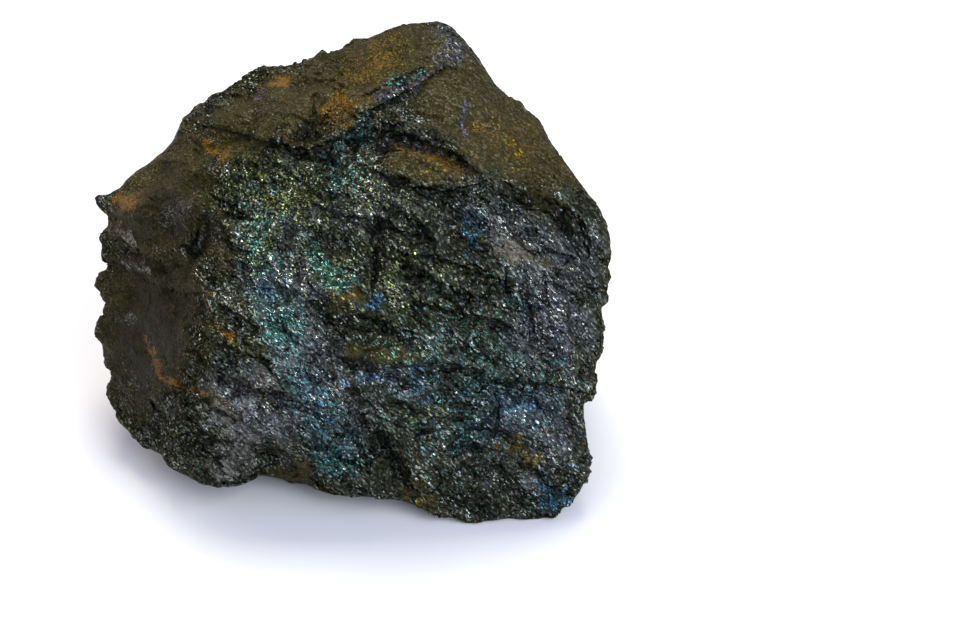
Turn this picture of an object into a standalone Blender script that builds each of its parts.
"""A germanite specimen: one broken lump of massive dark sulphide ore, resting on its flattest face.

Metres, with +Z up. The origin is on the resting face, under the middle of the lump. The main corners
are read as someone sees them who looks down on the front of the lump, and the hidden ones are placed
in the lump's own axes. The corners are joined into a cage of broken faces. The cage is then worked
over with ledges, grooves, knobs and hollows, and with the short stepped facets of a hackly fracture.
"""

import math

import bmesh
import bpy
import numpy as np
from mathutils import Vector, noise

MM = 0.001
NODE_NAME = "germanite_lump"

# The viewer's eye. Everything read from the front is measured on the plane through the lump's middle
# that faces the viewer.
VIEW_DROP = math.radians(36.0)
VIEW_DISTANCE = 280.0
EYE = np.array([22.4, -231.7, 193.3])
MIDDLE_RIGHT, MIDDLE_UP = -22.4, 8.75
RIGHT = np.array([1.0, 0.0, 0.0])
UP = np.array([0.0, math.sin(VIEW_DROP), math.cos(VIEW_DROP)])
FORWARD = np.array([0.0, math.cos(VIEW_DROP), -math.sin(VIEW_DROP)])

# The middle of the lump's mass, which every corner can see.
HEART = np.array([0.0, 2.0, 30.0])

# Corners round the outline, clockwise from the crest: right, up, and how much nearer than the plane.
OUTLINE = (
    (17.0, 43.5, 0.0),
    (20.5, 40.0, 0.0),
    (23.5, 35.0, 0.0),
    (26.0, 32.0, 0.5),
    (29.5, 30.0, 1.0),
    (33.0, 26.5, 1.5),
    (35.5, 21.5, 2.0),
    (37.5, 18.5, 2.0),
    (40.5, 14.5, 2.5),
    (43.5, 11.5, 3.0),
    (45.3, 6.5, 3.0),
    (45.0, 2.0, 3.0),
    (43.4, -2.0, 3.0),
    (44.3, -9.0, 3.0),
    (44.2, -14.0, 2.0),
    (42.0, -19.0, 2.0),
    (42.7, -23.0, 2.0),
    (41.7, -30.0, 1.0),
    (42.7, -34.0, 0.0),
    (40.0, -38.5, 0.0),
    (38.5, -41.5, 0.0),
    (35.5, -43.5, 0.0),
    (31.0, -44.0, 0.0),
    (26.0, -43.2, 0.0),
    (20.0, -43.4, 0.0),
    (14.5, -42.2, 0.5),
    (10.0, -40.2, 1.5),
    (2.0, -39.5, 2.5),
    (-4.0, -39.3, 2.0),
    (-9.0, -37.3, 0.0),
    (-13.0, -36.8, 0.0),
    (-17.0, -37.0, 2.0),
    (-21.5, -38.1, 3.5),
    (-26.5, -37.5, 2.0),
    (-30.0, -35.0, -1.0),
    (-33.5, -32.8, -4.0),
    (-38.0, -30.2, -8.0),
    (-40.0, -27.5, -12.0),
    (-43.0, -21.5, -12.0),
    (-43.4, -17.0, -11.0),
    (-42.6, -15.0, -11.0),
    (-44.7, -6.0, -10.0),
    (-45.3, -2.3, -9.0),
    (-43.0, 2.0, -7.0),
    (-43.8, 4.7, -6.0),
    (-42.8, 6.3, -6.0),
    (-43.4, 9.0, -5.0),
    (-44.2, 12.3, -5.0),
    (-42.5, 13.6, -5.0),
    (-40.0, 13.8, -5.0),
    (-38.5, 16.5, -4.0),
    (-35.0, 18.8, -4.0),
    (-30.2, 23.5, -3.0),
    (-29.5, 26.0, -3.0),
    (-24.5, 30.2, -2.5),
    (-20.0, 32.5, -2.0),
    (-16.0, 35.8, -2.0),
    (-9.0, 36.3, -2.0),
    (-3.5, 38.5, -2.0),
    (0.0, 40.0, -2.0),
    (4.0, 42.0, -1.5),
    (9.0, 43.5, -1.0),
)

# Corners inside the outline, from the crest down to the lower edge.
FRONT = (
    (12.0, 37.0, 5.0),
    (19.0, 34.5, 5.0),
    (9.0, 34.3, 6.0),
    (2.0, 28.0, 9.5),
    (0.5, 26.2, 10.5),
    (26.0, 25.0, 6.5),
    (-10.0, 29.0, 4.5),
    (-22.0, 24.0, 4.0),
    (5.0, 25.6, 10.5),
    (12.0, 23.0, 12.0),
    (20.5, 20.0, 12.0),
    (26.5, 15.0, 11.5),
    (33.0, 12.5, 9.5),
    (38.5, 9.5, 7.0),
    (5.0, 19.0, 12.5),
    (13.0, 15.0, 14.5),
    (21.0, 14.5, 13.0),
    (-10.0, 21.0, 10.5),
    (-19.0, 20.3, 9.0),
    (-26.0, 16.0, 7.0),
    (-33.0, 13.5, 2.0),
    (-38.0, 9.0, 0.0),
    (-29.0, 9.5, 7.5),
    (-15.0, 8.0, 12.5),
    (0.0, 10.0, 14.5),
    (12.0, 5.0, 15.5),
    (25.0, 5.0, 13.0),
    (38.0, 2.0, 8.0),
    (-25.5, 0.0, 12.0),
    (-34.0, 1.0, 2.5),
    (-24.5, -12.0, 15.0),
    (-35.0, -9.0, 0.5),
    (-25.5, -22.5, 13.5),
    (-35.5, -20.0, -0.5),
    (-31.5, -29.0, 1.0),
    (-8.0, -10.0, 15.5),
    (6.0, -14.0, 15.5),
    (20.0, -14.0, 14.5),
    (34.0, -15.0, 10.0),
    (-14.5, -27.0, 11.5),
    (-27.0, -30.0, 5.5),
    (-21.0, -31.0, 7.0),
    (-12.0, -33.5, 3.0),
    (-5.0, -33.0, 8.0),
    (5.0, -27.0, 12.0),
    (18.0, -28.0, 11.0),
    (33.0, -28.0, 8.0),
    (38.5, -33.0, 4.0),
    (2.0, -36.0, 7.0),
    (12.0, -37.0, 6.0),
    (24.0, -38.5, 4.0),
    (34.0, -40.0, 2.5),
)

# Hidden corners in the lump's own axes: the back, then the low edge, then round the resting face.
BACK = (
    (9.0, 31.0, 67.0),
    (-3.0, 30.0, 63.0),
    (22.0, 29.0, 60.0),
    (33.0, 25.0, 49.0),
    (-19.0, 29.0, 56.0),
    (-33.0, 24.0, 46.0),
    (-44.0, 18.0, 36.0),
    (44.0, 12.0, 36.0),
    (40.0, 24.0, 33.0),
    (27.0, 33.0, 41.0),
    (8.0, 37.0, 50.0),
    (-12.0, 37.0, 42.0),
    (-28.0, 33.0, 34.0),
    (-46.0, 15.0, 20.0),
    (-37.0, 27.0, 19.0),
    (14.0, 38.0, 29.0),
    (-8.0, 38.0, 22.0),
    (33.0, 31.0, 18.0),
    (43.0, 8.0, 18.0),
    (42.0, 18.0, 12.0),
    (-41.0, 10.0, 7.0),
    (-33.0, 24.0, 7.0),
    (-20.0, 32.0, 11.0),
    (4.0, 34.0, 7.0),
    (24.0, 32.0, 7.0),
    (40.0, -9.0, 7.0),
)
FOOT_DEPTH = -3.0
FOOT = (
    (18.0, -21.5),
    (33.0, -24.0),
    (38.5, -8.0),
    (37.0, 12.0),
    (22.0, 26.0),
    (-4.0, 28.0),
    (-26.0, 19.0),
    (-33.0, 4.0),
    (-25.0, -7.0),
    (-8.0, -13.0),
    (6.0, -16.0),
)

# The sides that relief is read from. The front is read through the eye, and each other side straight
# on, by what points right and what points up to someone who looks at it.
SIDES = {
    "front": (RIGHT, UP),
    "back": (-RIGHT, np.array([0.0, 0.0, 1.0])),
    "left": (np.array([0.0, -1.0, 0.0]), np.array([0.0, 0.0, 1.0])),
    "right": (np.array([0.0, 1.0, 0.0]), np.array([0.0, 0.0, 1.0])),
}

# Ledges: side, rise of the lip, depth cut in below it, how far both fade out, and the line of the lip.
# With the line read from its first point to its last, the lip is on the left of it.
LEDGES = (
    ("front", 1.5, 2.4, 4.0, ((0, 24), (5, 24.8), (8, 24.3), (13.5, 22), (18, 20.5), (23, 16.5))),
    ("front", 1.0, 1.8, 5.0, ((-28, 26), (-24, 25), (-15, 22.5), (-7, 21), (-0.5, 23.8), (4, 28))),
    ("front", 0.9, 1.3, 3.0, ((0, 27), (4, 28.5), (8, 30.5), (12.5, 33), (17, 36))),
    ("front", 0.7, 0.8, 2.5, ((1, 30), (4, 31.4), (8, 33.5), (13, 35.8))),
    ("front", 1.1, 1.2, 3.5, ((3, 18), (6, 16.6), (10, 14.5), (17, 14), (23, 15.3))),
    ("front", 1.7, 2.0, 4.0, ((25, 16.3), (31, 13), (35, 12.5), (38, 10.5), (40, 8), (41, 5), (42, 1))),
    ("front", 1.3, 1.2, 3.0, ((18, 6.5), (22, 4.6), (28, 3.8), (36, 3.0), (40, 2))),
    ("front", 1.2, 1.8, 4.0, ((-4, -15), (5, -16.2), (11, -16.7), (19, -16.8), (25, -19), (35, -20), (43, -22))),
    ("front", 1.4, 2.0, 4.0, ((-46, 7.5), (-42, 6.5), (-38, 4), (-33, 1.5), (-29, 2.5), (-27, 6), (-25, 14))),
    ("front", 1.0, 1.3, 3.0, ((-46, 2), (-41, 1.5), (-36, -2), (-30, -4), (-25, -4))),
    ("front", 1.7, 2.6, 4.5, ((-28, -22), (-25, -23.5), (-18, -27), (-15, -29), (-11, -33), (-9, -36))),
    ("front", 0.8, 1.0, 2.5, ((-24, -5.5), (-20, -8), (-16, -10.5))),
    ("front", 0.8, 1.0, 2.5, ((-23, -12), (-19, -14.5), (-14, -16))),
    ("front", 0.9, 1.2, 3.0, ((-24, -17.5), (-17, -21), (-11, -22), (-6, -25))),
    ("front", 0.8, 0.9, 2.5, ((-7, 12), (-1, 9.5), (6, 8.5), (12, 5.5))),
    ("front", 0.8, 1.0, 3.0, ((10, -5), (17, -7.5), (25, -8.5), (31, -12))),
    ("front", 0.9, 1.1, 2.5, ((-8, -2), (-3, -6), (2, -8.5), (8, -8.5))),
    ("front", 0.9, 1.1, 3.0, ((8, 2), (14, -1), (19, -4), (24, -5))),
    ("front", 0.8, 1.0, 3.0, ((7, -23), (13, -25.5), (21, -26), (28, -30), (36, -31))),
    ("front", 0.9, 1.2, 2.5, ((8, -36.5), (13, -38.5), (19, -40), (25, -39.5))),
    ("front", 0.9, 1.0, 3.0, ((-14, -20), (-11, -26), (-5, -30), (0, -35))),
    ("back", 1.6, 1.8, 5.0, ((-40, 28), (-28, 36), (-16, 37), (-6, 44), (8, 47))),
    ("back", 1.3, 1.7, 4.5, ((-32, 16), (-20, 19), (-9, 27), (5, 29), (15, 36), (27, 39))),
    ("back", 1.1, 1.4, 4.0, ((-8, 9), (4, 15), (15, 15), (30, 25))),
    ("back", 0.9, 1.2, 3.5, ((-14, 57), (-4, 53), (8, 54))),
    ("right", 1.4, 1.6, 4.5, ((-10, 32), (0, 34), (12, 30), (24, 34))),
    ("right", 1.3, 1.6, 4.5, ((-20, 18), (-6, 19), (8, 14), (22, 16))),
    ("left", 1.4, 1.6, 4.5, ((-26, 32), (-14, 35), (-4, 31))),
    ("left", 1.2, 1.5, 4.5, ((-22, 16), (-8, 19), (6, 14))),
)

# Grooves: side, depth, half width, and the line of the bottom.
GROOVES = (
    ("front", 1.8, 1.6, ((4, -26), (5, -29), (7, -34), (10, -39))),
    ("front", 1.1, 1.2, ((25, -20), (25.3, -25), (24.5, -30))),
    ("front", 1.1, 1.0, ((4.3, 10), (3.9, 4), (3.6, -4))),
    ("front", 1.2, 1.6, ((-7, 31.5), (-6.5, 27.5), (-9, 23.5), (-14, 22))),
    ("front", 1.0, 1.4, ((-19, 30), (-20, 26), (-17, 22))),
    ("front", 1.1, 1.5, ((-25.5, 3), (-24.5, -4), (-25, -11))),
    ("front", 1.0, 1.3, ((30, -3), (31.5, -9), (31, -15))),
    ("front", 1.2, 1.6, ((-40, -14), (-38, -20), (-35, -26))),
    ("back", 1.8, 2.2, ((5, 62), (1, 50), (4, 38), (1, 28))),
    ("back", 1.4, 2.0, ((-24, 30), (-19, 22), (-21, 13))),
    ("right", 1.4, 1.8, ((2, 42), (4, 30), (0, 18))),
    ("left", 1.4, 1.8, ((-14, 40), (-12, 28), (-15, 16))),
)

# Knobs, and hollows where the height is below zero: side, height, middle, half length, half width and
# turn in degrees.
KNOBS = (
    ("front", 2.2, (-34, 10.5), 11.0, 5.5, 15.0),
    ("front", 1.2, (-12.5, 27.5), 6.0, 5.0, 0.0),
    ("front", 1.0, (43.5, 5.0), 5.5, 3.0, 80.0),
    ("front", 1.0, (-22, -33), 7.0, 4.0, 10.0),
    ("front", 0.9, (13, 18), 9.0, 3.5, -12.0),
    ("front", 1.0, (-37, 0.5), 6.0, 3.0, -20.0),
    ("front", 0.9, (-3, -31), 7.0, 5.0, -50.0),
    ("front", 1.2, (-1, -4.5), 7.0, 4.0, -20.0),
    ("front", 0.9, (6, -14), 10.0, 2.4, -6.0),
    ("front", 1.1, (-15, -20), 11.0, 4.0, -38.0),
    ("front", 1.0, (31, 2.5), 9.0, 3.0, -8.0),
    ("front", -1.4, (-20, 12), 9.0, 6.0, -20.0),
    ("front", -1.2, (-2, 2), 11.0, 6.0, -25.0),
    ("front", -1.2, (-17, -33.5), 7.0, 3.5, -35.0),
    ("front", 1.0, (8, -9), 9.0, 6.0, -20.0),
    ("front", -1.0, (20, 9), 7.0, 4.0, -15.0),
    ("front", 1.0, (29, -25), 8.0, 5.0, -15.0),
    ("front", -1.0, (-37, -15), 7.0, 5.0, 60.0),
    ("back", 2.2, (-8, 34), 12.0, 7.0, 15.0),
    ("back", -2.0, (20, 30), 12.0, 8.0, -30.0),
    ("back", -1.8, (-28, 30), 9.0, 7.0, 10.0),
    ("back", 1.6, (12, 52), 9.0, 6.0, 20.0),
    ("right", 1.6, (4, 24), 9.0, 6.0, 15.0),
    ("left", -1.6, (-12, 26), 9.0, 6.0, 0.0),
)

# Seen square on, relief counts whole, and it fades out where the surface turns away from its side.
FADED_AT, WHOLE_AT = 0.12, 0.45

# How far out from its middle an oval still counts whole, as a share of its size.
WHOLE_OVAL = 0.25

# The grain of the ore runs down to the right across the front. Its broken cells are longest along it.
GRAIN_TILT = math.radians(-27.0)
ALONG_GRAIN = math.cos(GRAIN_TILT) * RIGHT + math.sin(GRAIN_TILT) * UP
ACROSS_GRAIN = -math.sin(GRAIN_TILT) * RIGHT + math.cos(GRAIN_TILT) * UP
GRAIN = np.array([ALONG_GRAIN, ACROSS_GRAIN, np.cross(ALONG_GRAIN, ACROSS_GRAIN)])

# Broken cells: their length, breadth and depth, how far they step in and out, and how steeply they lean.
BREAKS = (
    ((16.0, 8.5, 9.0), 1.5, 1.1),
    ((8.0, 3.8, 4.4), 1.0, 1.0),
    ((4.0, 2.0, 2.6), 0.5, 0.7),
)

# The random draws: the steps between the salts of two sets of cells, and the numbers that mix a draw.
SET_SALTS = 10
CELL_MIXERS = np.array((374761393, 668265263, 1440662683))
SALT_MIXER, LAST_MIXER = 1274126177, 1103515245
FIRST_SHIFT, LAST_SHIFT, DRAWN_BITS = 13, 16, 0xFFFFFF

# The cells stand out more in some places than in others: the width of those places, how high the noise
# that sets them swings, and the cells' strength at the calmest and at the liveliest.
LIVELY_WIDTH = 11.0
LIVELY_SWING = 0.3
CALMEST, LIVELIEST = 0.45, 1.4

# What share of the cells' relief is left along the outline, which has its own corners.
OUTLINE_SHARE = 0.4

# Smoother places on the front, where the cells show less: middle, half length, half width, turn in
# degrees, and what share of the relief is left.
CALM = (
    ((-36, -12), 15.0, 11.0, 75.0, 0.35),
    ((22, 24), 19.0, 9.0, -32.0, 0.5),
    ((6, 38), 13.0, 8.0, 25.0, 0.4),
    ((-12, 27), 15.0, 8.0, 15.0, 0.7),
    ((13, 18), 9.0, 4.0, -12.0, 0.5),
)

# The fine skin that is worked over: its grid in millimetres, how much its edges are worn, how many
# triangles are kept of it, and the longest edge that is dissolved round the foot.
VOXEL = 1.2
WEAR = 0.45
TRIANGLES = 9600
SLIVER = 0.12

ORE_COLOUR = (0.045, 0.047, 0.042, 1.0)
ORE_ROUGHNESS = 0.45
ORE_METALLIC = 0.7


def seen(right, up, near):
    """The place of a point read from the front, in the lump's axes and in millimetres."""
    across = (right + MIDDLE_RIGHT) * RIGHT
    upward = (up + MIDDLE_UP) * UP
    ray = VIEW_DISTANCE * FORWARD + across + upward
    return EYE + ray * (1.0 - near / VIEW_DISTANCE)


def cage():
    """The broken faces between the corners, joined as the corners lie round the heart of the lump."""
    places = [seen(*corner) for corner in OUTLINE + FRONT]
    places += [np.array(corner) for corner in BACK]
    places += [np.array((x, y, FOOT_DEPTH)) for x, y in FOOT]
    mesh = bmesh.new()
    for place in places:
        mesh.verts.new(Vector(place - HEART).normalized())
    mesh.verts.ensure_lookup_table()
    corners = list(mesh.verts)
    bmesh.ops.convex_hull(mesh, input=corners)
    for corner, place in zip(corners, places):
        corner.co = Vector(place) * MM
    bmesh.ops.recalc_face_normals(mesh, faces=mesh.faces)
    return mesh


def blended(value, start, end):
    """Runs smoothly from 0 at the start to 1 at the end."""
    share = np.clip((value - start) / (end - start), 0.0, 1.0)
    return share * share * (3.0 - 2.0 * share)


def reading(points, side):
    """Where the points lie to someone who looks at a side: across, up, and the way back to the eye."""
    right, up = SIDES[side]
    if side == "front":
        ray = points - EYE
        depth = ray @ FORWARD
        across = ray @ right * VIEW_DISTANCE / depth - MIDDLE_RIGHT
        upward = ray @ up * VIEW_DISTANCE / depth - MIDDLE_UP
        towards = -ray / np.linalg.norm(ray, axis=1)[:, None]
    else:
        across = points @ right
        upward = points @ up
        towards = np.broadcast_to(np.cross(right, up), points.shape)
    return np.column_stack((across, upward)), towards


def along_line(flat, line):
    """For each point its distance to the line, more than 0 on its left, and how far it is from the
    line's nearer end, counted along it."""
    line = np.array(line, dtype=float)
    steps = np.diff(line, axis=0)
    lengths = np.linalg.norm(steps, axis=1)
    before = np.concatenate(([0.0], np.cumsum(lengths)))
    nearest = np.full(len(flat), np.inf)
    signed = np.zeros(len(flat))
    travelled = np.zeros(len(flat))
    for start, step, length, done in zip(line, steps, lengths, before):
        offset = flat - start
        share = np.clip(offset @ step / length**2, 0.0, 1.0)
        away = offset - share[:, None] * step
        gap = np.linalg.norm(away, axis=1)
        side = np.sign(step[0] * offset[:, 1] - step[1] * offset[:, 0])
        closer = gap < nearest
        nearest = np.where(closer, gap, nearest)
        signed = np.where(closer, gap * side, signed)
        travelled = np.where(closer, done + share * length, travelled)
    return signed, np.minimum(travelled, before[-1] - travelled)


def within(flat, middle, half_length, half_width, turn):
    """1 in the middle of a turned oval, and 0 from its rim outwards."""
    turn = math.radians(turn)
    offset = flat - np.array(middle, dtype=float)
    along = (offset[:, 0] * math.cos(turn) + offset[:, 1] * math.sin(turn)) / half_length
    across = (offset[:, 1] * math.cos(turn) - offset[:, 0] * math.sin(turn)) / half_width
    return 1.0 - blended(np.hypot(along, across), WHOLE_OVAL, 1.0)


def relief(points, normals):
    """How far each point moves for the ledges, grooves, knobs and hollows, as a vector."""
    moved = np.zeros_like(points)
    for side in SIDES:
        flat, towards = reading(points, side)
        height = np.zeros(len(points))
        for _, rise, cut, fade, line in [ledge for ledge in LEDGES if ledge[0] == side]:
            signed, to_end = along_line(flat, line)
            step = np.where(signed >= 0.0, rise, -cut) * np.exp(-np.abs(signed) / fade)
            height += step * blended(to_end, 0.0, fade)
        for _, depth, half_width, line in [groove for groove in GROOVES if groove[0] == side]:
            signed, to_end = along_line(flat, line)
            height -= depth * np.exp(-((signed / half_width) ** 2)) * blended(to_end, 0.0, 2.0 * half_width)
        for _, rise, *oval in [knob for knob in KNOBS if knob[0] == side]:
            height += rise * within(flat, *oval)
        facing = np.einsum("ij,ij->i", normals, towards)
        moved += towards * (height * blended(facing, FADED_AT, WHOLE_AT))[:, None]
    return moved


def drawn(cells, salt):
    """Random numbers from 0 to 1, always the same for the same cell of a lattice."""
    mixed = cells @ CELL_MIXERS + salt * SALT_MIXER
    mixed = (mixed ^ (mixed >> FIRST_SHIFT)) * LAST_MIXER
    return ((mixed ^ (mixed >> LAST_SHIFT)) & DRAWN_BITS) / DRAWN_BITS


def broken_cells(points, size, lean, salt):
    """Stepped flats: the height of each point on the leaning facet of the cell that it falls in."""
    places = points @ GRAIN.T / np.array(size)
    base = np.floor(places).astype(np.int64)
    nearest = np.full(len(points), np.inf)
    height = np.zeros(len(points))
    for shift in np.ndindex(3, 3, 3):
        cells = base + np.array(shift) - 1
        heart = cells + np.column_stack([drawn(cells, salt + axis) for axis in range(3)])
        slope = np.column_stack([drawn(cells, salt + 3 + axis) for axis in range(3)]) - 0.5
        offset = places - heart
        gap = np.einsum("ij,ij->i", offset, offset)
        facet = drawn(cells, salt + 6) - 0.5 + lean * np.einsum("ij,ij->i", slope, offset)
        closer = gap < nearest
        nearest = np.where(closer, gap, nearest)
        height = np.where(closer, facet, height)
    return height


def hackle(points, normals):
    """How far each point moves for the stepped flats of the hackly fracture, as a vector."""
    flat, towards = reading(points, "front")
    facing = np.einsum("ij,ij->i", normals, towards)
    seen_share = blended(facing, FADED_AT, WHOLE_AT)
    off_outline = blended(np.abs(facing), 0.0, WHOLE_AT)
    waves = np.array([noise.noise(Vector(point)) for point in points / LIVELY_WIDTH])
    strength = CALMEST + (LIVELIEST - CALMEST) * blended(waves, -LIVELY_SWING, LIVELY_SWING)
    strength *= OUTLINE_SHARE + (1.0 - OUTLINE_SHARE) * off_outline
    for *oval, left in CALM:
        strength *= 1.0 - (1.0 - left) * within(flat, *oval) * seen_share
    height = np.zeros(len(points))
    for number, (size, step, lean) in enumerate(BREAKS):
        height += step * broken_cells(points, size, lean, SET_SALTS * number)
    return normals * (height * strength)[:, None]


def settled(obj):
    """Gives the object the mesh that its modifiers make of it."""
    graph = bpy.context.evaluated_depsgraph_get()
    made = bpy.data.meshes.new_from_object(obj.evaluated_get(graph))
    obj.modifiers.clear()
    old = obj.data
    obj.data = made
    bpy.data.meshes.remove(old)
    made.name = NODE_NAME


def corner_places(data):
    """The places of a mesh's corners in millimetres, and the normals there."""
    places = np.empty(len(data.vertices) * 3)
    data.vertices.foreach_get("co", places)
    normals = np.empty(len(data.vertices) * 3)
    data.vertices.foreach_get("normal", normals)
    return places.reshape(-1, 3) / MM, normals.reshape(-1, 3)


def sculpt(data):
    """Moves the corners of the fine mesh for its relief, and then for its broken cells."""
    for moves in (relief, hackle):
        points, normals = corner_places(data)
        points += moves(points, normals)
        data.vertices.foreach_set("co", (points * MM).ravel())
        data.update()


def cut_foot(data):
    """Cuts the lump off flat at its resting face, and closes the cut."""
    mesh = bmesh.new()
    mesh.from_mesh(data)
    everything = mesh.verts[:] + mesh.edges[:] + mesh.faces[:]
    bmesh.ops.bisect_plane(mesh, geom=everything, plane_co=(0, 0, 0), plane_no=(0, 0, 1), clear_inner=True)
    rim = [edge for edge in mesh.edges if edge.is_boundary]
    bmesh.ops.holes_fill(mesh, edges=rim, sides=0)
    bmesh.ops.dissolve_degenerate(mesh, dist=SLIVER * MM, edges=mesh.edges)
    bmesh.ops.triangulate(mesh, faces=mesh.faces)
    bmesh.ops.recalc_face_normals(mesh, faces=mesh.faces)
    mesh.to_mesh(data)
    mesh.free()


def ore():
    """Dark grey ore with a metallic shine."""
    material = bpy.data.materials.new("tarnished_ore")
    material.use_nodes = True
    shader = material.node_tree.nodes["Principled BSDF"]
    shader.inputs["Base Color"].default_value = ORE_COLOUR
    shader.inputs["Roughness"].default_value = ORE_ROUGHNESS
    shader.inputs["Metallic"].default_value = ORE_METALLIC
    return material


def main():
    for obj in list(bpy.data.objects):
        bpy.data.objects.remove(obj)
    data = bpy.data.meshes.new(NODE_NAME)
    mesh = cage()
    mesh.to_mesh(data)
    mesh.free()
    lump = bpy.data.objects.new(NODE_NAME, data)
    collection = bpy.data.collections.new("germanite_specimen")
    bpy.context.scene.collection.children.link(collection)
    collection.objects.link(lump)

    skin = lump.modifiers.new("even_skin", "REMESH")
    skin.mode = "VOXEL"
    skin.voxel_size = VOXEL * MM
    settled(lump)
    sculpt(lump.data)

    worn = lump.modifiers.new("worn_edges", "SMOOTH")
    worn.factor = WEAR
    worn.iterations = 1
    fewer = lump.modifiers.new("fewer_faces", "DECIMATE")
    fewer.ratio = TRIANGLES / (2 * len(lump.data.vertices))
    settled(lump)
    cut_foot(lump.data)
    lump.data.materials.append(ore())


main()
